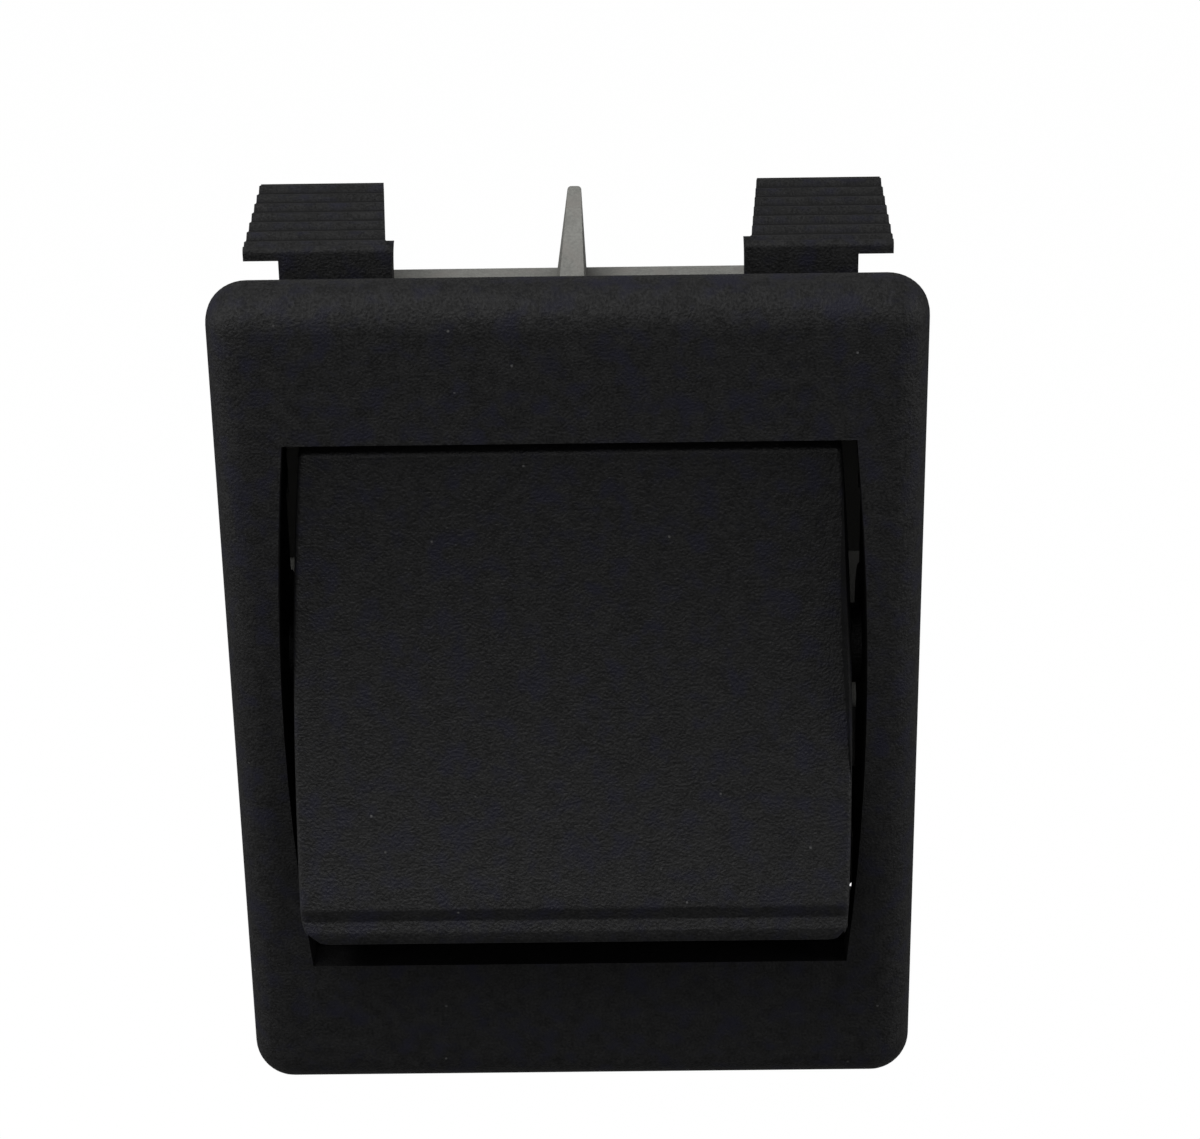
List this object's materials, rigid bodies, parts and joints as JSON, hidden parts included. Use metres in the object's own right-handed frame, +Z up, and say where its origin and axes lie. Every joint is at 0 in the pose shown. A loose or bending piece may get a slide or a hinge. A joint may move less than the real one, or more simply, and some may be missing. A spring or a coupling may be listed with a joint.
{
  "type": "panel rocker switch",
  "caption": "Black panel rocker switch with a rectangular bezel, ratchet wings, a grey rear housing and solder blades.",
  "frame": {"origin": "middle of the bezel's rear face, which seats on the front of the panel", "axes": "+X to the right seen from the front, +Y back into the panel, +Z up"},
  "size_m": [0.0252, 0.0278, 0.033],
  "materials": {
    "black": "fine matte texture",
    "grey": "satin",
    "brass": "stamped",
    "tinned": "tin plate",
    "silver": "satin silver",
    "steel": "drawn wire"
  },
  "bodies": {
    "base": {"frame": "black", "housing": "grey", "upper_fixed_contact_right": "silver", "lower_fixed_contact_right": "silver", "upper_fixed_contact_left": "silver", "lower_fixed_contact_left": "silver", "upper_terminal_right": "tinned", "common_terminal_right": "tinned", "lower_terminal_right": "tinned", "upper_terminal_left": "tinned", "common_terminal_left": "tinned", "lower_terminal_left": "tinned"},
    "rocker": {"rocker": "black", "plunger_spring_right": "steel", "plunger_spring_left": "steel"},
    "plunger_right": {"plunger_right": "tinned"},
    "plunger_left": {"plunger_left": "tinned"},
    "bridge_right": {"bridge_right": "brass", "upper_moving_contact_right": "silver", "lower_moving_contact_right": "silver"},
    "bridge_left": {"bridge_left": "brass", "upper_moving_contact_left": "silver", "lower_moving_contact_left": "silver"}
  },
  "joints": [
    {"name": "rocker_pivot", "type": "hinge", "parent": "base", "child": "rocker", "pos_m": [0, 0.0036, 0], "axis": [1, 0, 0], "range_deg": [0, 18]},
    {"name": "plunger_slide_right", "type": "slide", "parent": "rocker", "child": "plunger_right", "axis": [0, 0.9877, -0.1564], "range_m": [-0.0006, 0], "stiffness_N_per_m": 400, "deforming": ["plunger_spring_right"]},
    {"name": "bridge_seesaw_right", "type": "hinge", "parent": "base", "child": "bridge_right", "pos_m": [0.005, 0.0125, 0], "axis": [1, 0, 0], "range_deg": [-13, 0]},
    {"name": "plunger_slide_left", "type": "slide", "parent": "rocker", "child": "plunger_left", "axis": [0, 0.9877, -0.1564], "range_m": [-0.0006, 0], "stiffness_N_per_m": 400, "deforming": ["plunger_spring_left"]},
    {"name": "bridge_seesaw_left", "type": "hinge", "parent": "base", "child": "bridge_left", "pos_m": [-0.005, 0.0125, 0], "axis": [1, 0, 0], "range_deg": [-13, 0]}
  ],
  "couplings": [
    {"joint": "bridge_seesaw_right", "follows": "rocker_pivot", "ratio": -0.72222},
    {"joint": "bridge_seesaw_left", "follows": "rocker_pivot", "ratio": -0.72222}
  ]
}
